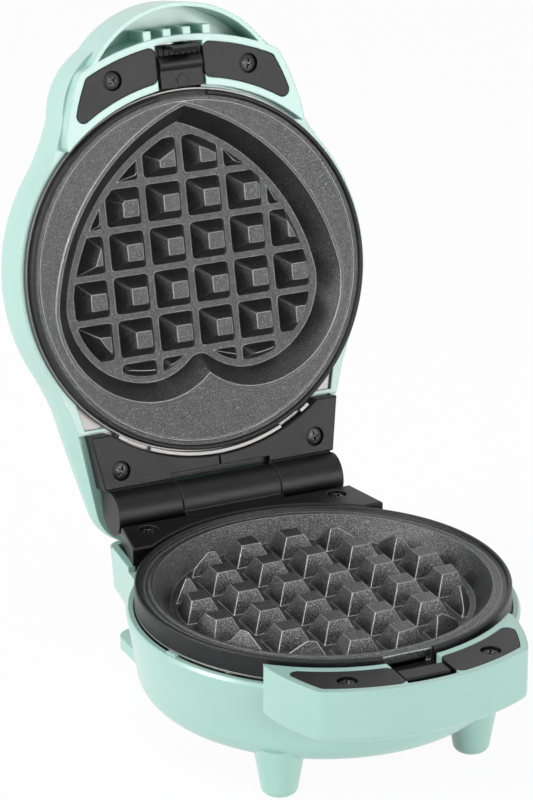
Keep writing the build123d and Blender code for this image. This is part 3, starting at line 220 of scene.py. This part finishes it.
def skinned(name, dark, light, rough, grain_per_metre, grain_height, ripple_per_metre, edge_round,
            edge_wear_and_highlight_colour, edge_wear_and_highlight_share, metallic=0.0, coat=0.0, specular=0.5, fleck=None, fleck_share=0.0,
            fleck_from=0.52, fleck_to=0.75, rough_spread=0.06):
    """Two tones blended by the ripple, flecks from the grain, and paler edges: partly wear, partly a
    painted highlight.
    """
    material = bpy.data.materials.new(name)
    material.use_nodes = True
    tree = material.node_tree
    shader = tree.nodes["Principled BSDF"]
    skin = tree.nodes.new("ShaderNodeGroup")
    skin.node_tree = mould_skin
    skin.inputs["Grain per metre"].default_value = grain_per_metre
    skin.inputs["Grain height"].default_value = grain_height
    skin.inputs["Ripple per metre"].default_value = ripple_per_metre
    skin.inputs["Edge round"].default_value = edge_round
    tones = tree.nodes.new("ShaderNodeMixRGB")
    tones.inputs["Color1"].default_value = (*dark, 1)
    tones.inputs["Color2"].default_value = (*light, 1)
    flecks = tree.nodes.new("ShaderNodeMixRGB")
    flecks.inputs["Color2"].default_value = (*(fleck or light), 1)
    fleck_mask = tree.nodes.new("ShaderNodeMapRange")
    fleck_mask.inputs["From Min"].default_value = fleck_from
    fleck_mask.inputs["From Max"].default_value = fleck_to
    fleck_mask.inputs["To Max"].default_value = fleck_share
    # Edges mixed towards a paler colour: partly wear, partly a painted highlight.
    worn_and_highlit = tree.nodes.new("ShaderNodeMixRGB")
    worn_and_highlit.inputs["Color2"].default_value = (*edge_wear_and_highlight_colour, 1)
    worn_and_highlit_mask = tree.nodes.new("ShaderNodeMath")
    worn_and_highlit_mask.operation = "MULTIPLY"
    worn_and_highlit_mask.inputs[1].default_value = edge_wear_and_highlight_share
    roughness = tree.nodes.new("ShaderNodeMapRange")
    roughness.inputs["To Min"].default_value = rough - rough_spread
    roughness.inputs["To Max"].default_value = rough + rough_spread
    wire_up(tree, [
        (skin.outputs["Tone"], tones.inputs["Fac"]), (tones.outputs[0], flecks.inputs["Color1"]),
        (skin.outputs["Grain"], fleck_mask.inputs["Value"]), (fleck_mask.outputs[0], flecks.inputs["Fac"]),
        (flecks.outputs[0], worn_and_highlit.inputs["Color1"]), (skin.outputs["Edge"], worn_and_highlit_mask.inputs[0]),
        (worn_and_highlit_mask.outputs[0], worn_and_highlit.inputs["Fac"]), (worn_and_highlit.outputs[0], shader.inputs["Base Color"]),
        (skin.outputs["Tone"], roughness.inputs["Value"]),
        (roughness.outputs[0], shader.inputs["Roughness"]),
        (skin.outputs["Normal"], shader.inputs["Normal"])])
    shader.inputs["Metallic"].default_value = metallic
    shader.inputs["Coat Weight"].default_value = coat
    shader.inputs["Coat Roughness"].default_value = 0.14
    shader.inputs["Specular IOR Level"].default_value = specular
    return material


def dress(name, material):
    """Puts a material on a CAD node's own slots."""
    node = frame["nodes"][name]
    if not node.material_slots:
        node.data.materials.append(material)
    for slot in node.material_slots:
        slot.material = material


# The mint's edges are painted paler: partly wear, partly a painted highlight.
mint = skinned("mint_polypropylene", (0.350, 0.575, 0.500), (0.395, 0.625, 0.550), 0.34,
               3200, 0.05, 45, 0.0006, (0.54, 0.77, 0.70), 0.40, coat=0.45, specular=0.6)
for name in ("base_shell", "lid_shell"):
    dress(name, mint)

# Black fittings: the inlays, the hinge's two halves, the latch lever, its catch and the bottom
# cover are moulded in black nylon with a fine matt texture; the edges are painted a little paler, partly
# wear and partly painted highlight.
black = skinned("black_nylon", (0.003, 0.003, 0.003), (0.007, 0.007, 0.007), 0.34,
                3600, 0.45, 90, 0.0005, (0.10, 0.10, 0.10), 0.60, specular=0.27,
                fleck=(0.030, 0.030, 0.030), fleck_share=0.5)
for name in ("base_inlay_left", "base_inlay_right", "lid_inlay_left", "lid_inlay_right", "latch_catch",
             "latch_lever", "base_hinge_block", "lid_hinge_bracket", "bottom_cover"):
    dress(name, black)

# Gland and foot pads: soft black rubber, dull, with a fine grain.
rubber = skinned("black_rubber", (0.010, 0.010, 0.010), (0.020, 0.020, 0.020), 0.66,
                 5000, 0.4, 120, 0.0003, (0.05, 0.05, 0.05), 0.3)
for name in ("cord_gland", "foot_pads"):
    dress(name, rubber)


# Plates: cast aluminium under a sprayed non-stick coat, dark grey with fine pale flecks.
# The edges of the grid and the rims are painted pale: partly a thinner coat, mostly a painted highlight
# where they catch the light.
hinge = frame["record"]["behaviour"]["joints"][0]
hinge_y, hinge_z = hinge["pos_m"][1], hinge["pos_m"][2]
lid_angle = -math.radians(hinge["range_deg"][1])
plate_to_hinge = 0.0724             # from the plates' axis back to the hinge pin
plate_y = hinge_y - plate_to_hinge
lid_lip = hinge_z + 0.0005          # the lid's lip plane when it is shut
coat_end = 0.0553                   # radius where the pale coat starts to give way
bare_start = 0.0560                 # radius from where the rim is bare
plate_edge_round = 0.00030
same_point = 0.000002               # corners closer than this are one corner
flat_turn = math.radians(0.6)       # faces that meet at less than this are one face
sharp_turn = math.radians(24)       # edges that turn by more than this are rounded


def coated(name, lean, fleck_share):
    """The non-stick coat on a plate whose axis leans; outside the land the rim is bare and darker."""
    material = skinned(name, (0.046, 0.046, 0.047), (0.064, 0.064, 0.065), 0.33,
                       3300, 1.0, 55, 0.0006, (0.62, 0.62, 0.62), 1.0, metallic=0.85, specular=0.6,
                       fleck=(0.28, 0.28, 0.28), fleck_share=fleck_share, fleck_from=0.50, fleck_to=0.67)
    tree = material.node_tree
    shader = tree.nodes["Principled BSDF"]
    coat_colour = shader.inputs["Base Color"].links[0].from_socket
    at = tree.nodes.new("ShaderNodeTexCoord")
    to_axis = tree.nodes.new("ShaderNodeMapping")
    to_axis.vector_type = "TEXTURE"
    to_axis.inputs["Location"].default_value = (0, hinge_y, hinge_z)
    to_axis.inputs["Rotation"].default_value = (lean, 0, 0)
    centred = tree.nodes.new("ShaderNodeVectorMath")
    centred.operation = "ADD"
    centred.inputs[1].default_value = (0, plate_to_hinge, 0)
    flattened = tree.nodes.new("ShaderNodeVectorMath")
    flattened.operation = "MULTIPLY"
    flattened.inputs[1].default_value = (1, 1, 0)
    reach = tree.nodes.new("ShaderNodeVectorMath")
    reach.operation = "LENGTH"
    rim = tree.nodes.new("ShaderNodeMapRange")
    rim.inputs["From Min"].default_value = coat_end
    rim.inputs["From Max"].default_value = bare_start
    bare = tree.nodes.new("ShaderNodeMixRGB")
    bare.inputs["Color2"].default_value = (0.030, 0.030, 0.031, 1)
    wire_up(tree, [
        (at.outputs["Object"], to_axis.inputs["Vector"]), (to_axis.outputs[0], centred.inputs[0]),
        (centred.outputs[0], flattened.inputs[0]), (flattened.outputs[0], reach.inputs[0]),
        (reach.outputs["Value"], rim.inputs["Value"]), (rim.outputs[0], bare.inputs["Fac"]),
        (coat_colour, bare.inputs["Color1"]), (bare.outputs[0], shader.inputs["Base Color"])])
    return material


def eased_copy(node_name, piece_name, edge_width, material):
    """A CAD node's mesh with its doubles merged and its sharp edges rounded for real."""
    shape = bmesh.new()
    shape.from_mesh(frame["nodes"][node_name].data)
    bmesh.ops.remove_doubles(shape, verts=shape.verts, dist=same_point)
    bmesh.ops.dissolve_limit(shape, angle_limit=flat_turn, use_dissolve_boundaries=False,
                             verts=shape.verts, edges=shape.edges, delimit=set())
    mesh = bpy.data.meshes.new(piece_name)
    shape.to_mesh(mesh)
    shape.free()
    mesh.materials.clear()
    mesh.materials.append(material)
    for polygon in mesh.polygons:
        polygon.material_index = 0
        polygon.use_smooth = False
    piece = bpy.data.objects.new(piece_name, mesh)
    bpy.context.scene.collection.objects.link(piece)
    easing = piece.modifiers.new("edge_round", "BEVEL")
    easing.width = edge_width
    easing.segments = 2
    easing.limit_method = "ANGLE"
    easing.angle_limit = sharp_turn
    easing.use_clamp_overlap = True
    easing.harden_normals = False
    easing.material = 0
    return piece


for name, body, lean, fleck_share in (
        ("base_plate", "base", 0.0, 0.85), ("lid_plate", "lid", lid_angle, 0.50)):
    plate_coat = coated(name + "_coat", lean, fleck_share)
    casting = eased_copy(name, name + "_casting", plate_edge_round, plate_coat)
    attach(casting, body)
    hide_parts(name)


# Screws: four in the inlays and four in the hinge. Pan heads with a cross recess, blackened
# steel, each driven home at its own angle and sunk a little below the surface.
# The screws' edges are painted pale grey: partly wear, mostly a painted highlight.
blackened = skinned("blackened_steel", (0.030, 0.030, 0.030), (0.055, 0.055, 0.055), 0.28,
                    2500, 0.15, 300, 0.00015, (0.45, 0.45, 0.45), 0.8, metallic=0.90)
zinc = skinned("zinc_plate", (0.42, 0.42, 0.41), (0.52, 0.52, 0.50), 0.30,
               2500, 0.15, 300, 0.0002, (0.7, 0.7, 0.7), 0.5, metallic=1.0)


def on_lid(y, height):
    """Where a point of the shut lid stands when the lid is open, as y and z."""
    along, over = y - hinge_y, height - hinge_z
    return (hinge_y + along * math.cos(lid_angle) - over * math.sin(lid_angle),
            hinge_z + along * math.sin(lid_angle) + over * math.cos(lid_angle))


def geometry_tree(name, inputs):
    """A Geometry Nodes tree with named inputs, for an object whose shape it makes."""
    tree = bpy.data.node_groups.new(name, "GeometryNodeTree")
    for label, kind, value in inputs:
        socket = tree.interface.new_socket(label, in_out="INPUT", socket_type=kind)
        if value is not None:
            socket.default_value = value
    tree.interface.new_socket("Geometry", in_out="OUTPUT", socket_type="NodeSocketGeometry")
    return tree, tree.nodes.new("NodeGroupInput"), tree.nodes.new("NodeGroupOutput")


screw_tree, screw_in, screw_out = geometry_tree("pan_head_screws", [
    ("Head radius", "NodeSocketFloat", 0.0029), ("Head height", "NodeSocketFloat", 0.0017),
    ("Crown", "NodeSocketFloat", 0.0087), ("Shank radius", "NodeSocketFloat", 0.00145),
    ("Length", "NodeSocketFloat", 0.0100), ("Half spacing", "NodeSocketFloat", 0.0234),
    ("Slot width", "NodeSocketFloat", 0.00066), ("Slot reach", "NodeSocketFloat", 0.0036),
    ("Slot depth", "NodeSocketFloat", 0.0011), ("Place", "NodeSocketVector", None),
    ("Lean", "NodeSocketFloat", 0.0), ("Turn seed", "NodeSocketInt", 1),
    ("Finish", "NodeSocketMaterial", None)])


def add(tree, kind, **settings):
    """A new node of this kind with its settings made."""
    node = tree.nodes.new(kind)
    for key, value in settings.items():
        setattr(node, key, value)
    return node


def scaled(tree, socket, factor):
    """A Math node that multiplies a value by a plain number."""
    node = add(tree, "ShaderNodeMath", operation="MULTIPLY")
    node.inputs[1].default_value = factor
    tree.links.new(socket, node.inputs[0])
    return node.outputs[0]


def upright(tree, height_socket):
    """A vector that points up by the given value."""
    node = add(tree, "ShaderNodeCombineXYZ")
    tree.links.new(height_socket, node.inputs["Z"])
    return node.outputs[0]


def moved(tree, geometry, offset):
    """The geometry shifted by an offset."""
    node = add(tree, "GeometryNodeTransform")
    wire_up(tree, [(geometry, node.inputs["Geometry"]), (offset, node.inputs["Translation"])])
    return node.outputs["Geometry"]


cone_top_radius = 0.0011            # the pit where the two slots cross narrows downwards
cone_low_radius = 0.0002
cone_depth = 0.0014
cone_drop = 0.0013
largest_turn = math.radians(80)     # how far a driven screw may be turned
screw_edge_round = 0.00009
screw_sharp_turn = math.radians(40)

head_blank = add(screw_tree, "GeometryNodeMeshCylinder")
head_blank.inputs["Vertices"].default_value = 40
crown_ball = add(screw_tree, "GeometryNodeMeshUVSphere")
crown_ball.inputs["Segments"].default_value = 48
crown_ball.inputs["Rings"].default_value = 64
domed_head = add(screw_tree, "GeometryNodeMeshBoolean", operation="INTERSECT", solver="EXACT")
slot_bar = add(screw_tree, "GeometryNodeMeshCube")
slot_size = add(screw_tree, "ShaderNodeCombineXYZ")
cross_bar = add(screw_tree, "GeometryNodeTransform")
cross_bar.inputs["Rotation"].default_value = (0, 0, math.radians(90))
recess_cone = add(screw_tree, "GeometryNodeMeshCone")
recess_cone.inputs["Vertices"].default_value = 16
recess_cone.inputs["Radius Top"].default_value = cone_top_radius
recess_cone.inputs["Radius Bottom"].default_value = cone_low_radius
recess_cone.inputs["Depth"].default_value = cone_depth
cone_low = add(screw_tree, "GeometryNodeTransform")
cone_low.inputs["Translation"].default_value = (0, 0, -cone_drop)
cut_head = add(screw_tree, "GeometryNodeMeshBoolean", operation="DIFFERENCE", solver="EXACT")
shank = add(screw_tree, "GeometryNodeMeshCylinder")
shank.inputs["Vertices"].default_value = 20
shank_depth = add(screw_tree, "ShaderNodeMath", operation="SUBTRACT")
shank_middle = add(screw_tree, "ShaderNodeMath", operation="ADD")
whole_screw = add(screw_tree, "GeometryNodeJoinGeometry")
two_places = add(screw_tree, "GeometryNodeMeshLine", mode="OFFSET")
two_places.inputs["Count"].default_value = 2
line_start = add(screw_tree, "ShaderNodeCombineXYZ")
line_step = add(screw_tree, "ShaderNodeCombineXYZ")
driven = add(screw_tree, "FunctionNodeRandomValue", data_type="FLOAT")
driven.inputs["Max"].default_value = largest_turn
driven_turn = add(screw_tree, "ShaderNodeCombineXYZ")
both = add(screw_tree, "GeometryNodeInstanceOnPoints")
real = add(screw_tree, "GeometryNodeRealizeInstances")
lean_turn = add(screw_tree, "ShaderNodeCombineXYZ")
set_down = add(screw_tree, "GeometryNodeTransform")
finish_on = add(screw_tree, "GeometryNodeSetMaterial")
value = screw_in.outputs
head_placed = moved(screw_tree, head_blank.outputs["Mesh"],
                    upright(screw_tree, scaled(screw_tree, value["Head height"], -0.5)))
ball_placed = moved(screw_tree, crown_ball.outputs["Mesh"],
                    upright(screw_tree, scaled(screw_tree, value["Crown"], -1.0)))
shank_placed = moved(screw_tree, shank.outputs["Mesh"],
                     upright(screw_tree, scaled(screw_tree, shank_middle.outputs[0], -0.5)))
wire_up(screw_tree, [
    (value["Head radius"], head_blank.inputs["Radius"]), (value["Head height"], head_blank.inputs["Depth"]),
    (value["Crown"], crown_ball.inputs["Radius"]),
    (head_placed, domed_head.inputs["Mesh 2"]), (ball_placed, domed_head.inputs["Mesh 2"]),
    (value["Slot reach"], slot_size.inputs["X"]), (value["Slot width"], slot_size.inputs["Y"]),
    (scaled(screw_tree, value["Slot depth"], 2.0), slot_size.inputs["Z"]),
    (slot_size.outputs[0], slot_bar.inputs["Size"]),
    (slot_bar.outputs["Mesh"], cross_bar.inputs["Geometry"]),
    (recess_cone.outputs["Mesh"], cone_low.inputs["Geometry"]),
    (domed_head.outputs["Mesh"], cut_head.inputs["Mesh 1"]),
    (slot_bar.outputs["Mesh"], cut_head.inputs["Mesh 2"]),
    (cross_bar.outputs[0], cut_head.inputs["Mesh 2"]),
    (cone_low.outputs[0], cut_head.inputs["Mesh 2"]),
    (value["Length"], shank_depth.inputs[0]), (value["Head height"], shank_depth.inputs[1]),
    (value["Length"], shank_middle.inputs[0]), (value["Head height"], shank_middle.inputs[1]),
    (value["Shank radius"], shank.inputs["Radius"]), (shank_depth.outputs[0], shank.inputs["Depth"]),
    (cut_head.outputs["Mesh"], whole_screw.inputs[0]), (shank_placed, whole_screw.inputs[0]),
    (scaled(screw_tree, value["Half spacing"], -1.0), line_start.inputs["X"]),
    (scaled(screw_tree, value["Half spacing"], 2.0), line_step.inputs["X"]),
    (line_start.outputs[0], two_places.inputs["Start Location"]),
    (line_step.outputs[0], two_places.inputs["Offset"]),
    (two_places.outputs["Mesh"], both.inputs["Points"]), (whole_screw.outputs[0], both.inputs["Instance"]),
    (value["Turn seed"], driven.inputs["Seed"]), (driven.outputs[1], driven_turn.inputs["Z"]),
    (driven_turn.outputs[0], both.inputs["Rotation"]), (both.outputs[0], set_down.inputs["Geometry"]),
    (value["Lean"], lean_turn.inputs["X"]), (lean_turn.outputs[0], set_down.inputs["Rotation"]),
    (value["Place"], set_down.inputs["Translation"]), (set_down.outputs[0], real.inputs[0]),
    (real.outputs[0], finish_on.inputs["Geometry"]), (value["Finish"], finish_on.inputs["Material"]),
    (finish_on.outputs[0], screw_out.inputs["Geometry"])])


def grown(name, tree, settings):
    """Runs a Geometry Nodes tree once and keeps its result as a plain mesh object."""
    seed_mesh = bpy.data.meshes.new(name + "_seed")
    maker = bpy.data.objects.new(name + "_maker", seed_mesh)
    bpy.context.scene.collection.objects.link(maker)
    modifier = maker.modifiers.new("maker", "NODES")
    modifier.node_group = tree
    sockets = {item.name: item.identifier for item in tree.interface.items_tree if item.in_out == "INPUT"}
    for label, setting in settings.items():
        modifier[sockets[label]] = setting
    seen = maker.evaluated_get(bpy.context.evaluated_depsgraph_get())
    mesh = bpy.data.meshes.new_from_object(seen)
    mesh.name = name
    maker.modifiers.remove(modifier)
    bpy.data.objects.remove(maker)
    piece = bpy.data.objects.new(name, mesh)
    bpy.context.scene.collection.objects.link(piece)
    return piece


for node_name, body, half_spacing, screw_y, screw_top, length, seed in (
        ("base_inlay_screws", "base", 0.0234, -0.0636, 0.04652, 0.010, 3),
        ("base_hinge_screws", "base", 0.0330, 0.0576, 0.04790, 0.014, 8),
        ("lid_inlay_screws", "lid", 0.0234, -0.0636, 0.00048, 0.010, 5),
        ("lid_hinge_screws", "lid", 0.0341, 0.0594, 0.00055, 0.012, 12)):
    if body == "base":
        place, lean = (0.0, plate_y + screw_y, screw_top), 0.0
    else:
        y, z = on_lid(plate_y + screw_y, lid_lip + screw_top)
        place, lean = (0.0, y, z), math.pi + lid_angle
    screws = grown(node_name + "_cut", screw_tree, {
        "Length": length, "Half spacing": half_spacing, "Place": place, "Lean": lean,
        "Turn seed": seed, "Finish": blackened})
    easing = screws.modifiers.new("edge_round", "BEVEL")
    easing.width = screw_edge_round
    easing.segments = 1
    easing.limit_method = "ANGLE"
    easing.angle_limit = screw_sharp_turn
    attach(screws, body)
    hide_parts(node_name)
for name in ("bottom_cover_screws", "base_plate_screws", "lid_plate_screws"):
    dress(name, zinc)

# Shield strip: a thin ring of bright sheet in the gap between the lid's plate and the hinge, with
# two short windows beside the tabs at its ends. The pans behind both plates, the thermostat and
# the fuse have the same finish.
sheet = skinned("bright_sheet", (0.21, 0.205, 0.205), (0.27, 0.265, 0.26), 0.42,
                1500, 0.20, 90, 0.0002, (0.7, 0.7, 0.7), 0.3, metallic=0.8)
for name in ("base_reflector", "lid_reflector", "thermostat", "thermal_fuse"):
    dress(name, sheet)
strip_inner = 0.05825               # radii about the lid plate's axis
strip_outer = 0.05935
strip_back = 0.0056                 # depths behind the lid's lip plane
strip_face = 0.0011
window_face = 0.0030
window_step = math.radians(0.1)     # the short slope at each side of a window
strip_step = math.radians(1.5)      # about how far one section turns
strip_turns = [math.radians(turn) for turn in (55.5, 59.0, 67.0, 113.0, 121.0, 124.5)]
strip_stations = []
for index in range(len(strip_turns) - 1):
    start, end = strip_turns[index], strip_turns[index + 1]
    face_depth = window_face if index % 2 else strip_face
    steps = max(2, round((end - start) / strip_step))
    for step in range(steps + 1):
        turn = start + (end - start) * step / steps + (window_step if step == 0 else 0)
        strip_stations.append((turn, face_depth))
strip_shape = bmesh.new()
rings = []
for turn, face_depth in strip_stations:
    ring = []
    for radius, depth in ((strip_inner, strip_back), (strip_inner, face_depth),
                          (strip_outer, face_depth), (strip_outer, strip_back)):
        y, z = on_lid(plate_y + radius * math.sin(turn), lid_lip + depth)
        ring.append(strip_shape.verts.new((radius * math.cos(turn), y, z)))
    rings.append(ring)
for first, second in zip(rings, rings[1:]):
    for corner in range(4):
        following = (corner + 1) % 4
        strip_shape.faces.new((first[corner], first[following], second[following], second[corner]))
strip_shape.faces.new(rings[0][::-1])
strip_shape.faces.new(rings[-1])
bmesh.ops.recalc_face_normals(strip_shape, faces=strip_shape.faces)
strip_mesh = bpy.data.meshes.new("shield_strip")
strip_shape.to_mesh(strip_mesh)
strip_shape.free()
strip_mesh.materials.append(sheet)
shield_strip = bpy.data.objects.new("shield_strip", strip_mesh)
bpy.context.scene.collection.objects.link(shield_strip)
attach(shield_strip, "lid")

# Pins: the hinge pin, the lever's pin and its drag washer are ground steel.
ground_steel = skinned("ground_steel", (0.50, 0.50, 0.51), (0.60, 0.60, 0.61), 0.25,
                       4000, 0.1, 300, 0.0002, (0.8, 0.8, 0.8), 0.4, metallic=1.0)
for name in ("hinge_pin", "latch_pin", "latch_spring"):
    dress(name, ground_steel)

# Inner works: tubular heaters with a heat-stained sheath, glass-sleeved wires, a ceramic
# terminal block and the lamp behind its red lens in the lid's top.
for name, colour in (("base_heater", 0.10), ("lid_heater", 0.10), ("base_wires", 0.75), ("lid_wires", 0.75),
                     ("terminal_block", 0.70), ("indicator_lamp", 0.80)):
    dress(name, skinned(name + "_skin", (colour, colour, colour), (colour * 1.1,) * 3, 0.5,
                        3000, 0.2, 200, 0.0002, (colour,) * 3, 0.2))
red_lens = skinned("red_lens", (0.45, 0.01, 0.01), (0.55, 0.02, 0.015), 0.15,
                   3000, 0.02, 200, 0.0002, (0.8, 0.2, 0.15), 0.3, coat=0.5)
dress("indicator_lens", red_lens)
